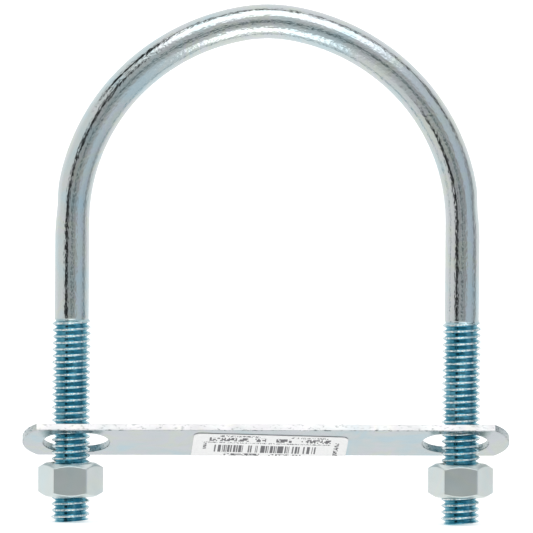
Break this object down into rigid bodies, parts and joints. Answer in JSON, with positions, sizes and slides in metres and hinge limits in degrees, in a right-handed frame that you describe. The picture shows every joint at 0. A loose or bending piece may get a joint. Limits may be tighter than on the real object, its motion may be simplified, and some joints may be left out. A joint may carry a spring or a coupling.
{
  "type": "u-bolt",
  "caption": "Round-bend U-bolt with two rolled threaded legs, a slotted clamp plate and hex nuts, for clamping a pipe to a flat support.",
  "frame": {"origin": "midway between the two legs, in the plane that the leg ends stand on", "axes": "+X from the left leg to the right leg, +Y from the labelled side of the plate to the other side, +Z from the leg ends to the bend"},
  "size_m": [0.12, 0.0154, 0.1279],
  "materials": {
    "rod_zinc": "bright zinc plate over a drawn bar, blue in the threads",
    "plate_zinc": "bright zinc plate over a stamped strap",
    "nut_zinc": "bright zinc plate, lightly grained",
    "label_paper": "white coated paper sticker with grey and black print"
  },
  "bodies": {
    "rod": {"u_rod": "rod_zinc"},
    "plate": {"clamp_plate": "plate_zinc", "size_label": "label_paper"},
    "left_nut": {"hex_nut_left": "nut_zinc"},
    "right_nut": {"hex_nut_right": "nut_zinc"}
  },
  "joints": [
    {"name": "plate_travel", "type": "slide", "parent": "rod", "child": "plate", "axis": [0, 0, 1], "range_m": [-0.0064, 0.0334]},
    {"name": "left_nut_turn", "type": "hinge", "parent": "plate", "child": "left_nut", "pos_m": [-0.04802, 0, 0.01045], "axis": [0, 0, 1], "range_deg": [-1440, 7560]},
    {"name": "right_nut_turn", "type": "hinge", "parent": "plate", "child": "right_nut", "pos_m": [0.04802, 0, 0.0109], "axis": [0, 0, 1], "range_deg": [-1440, 7560]}
  ],
  "couplings": [
    {"joint": "plate_travel", "follows": "left_nut_turn", "m_per_rad": 0.00025266},
    {"joint": "right_nut_turn", "follows": "left_nut_turn", "ratio": 1}
  ]
}
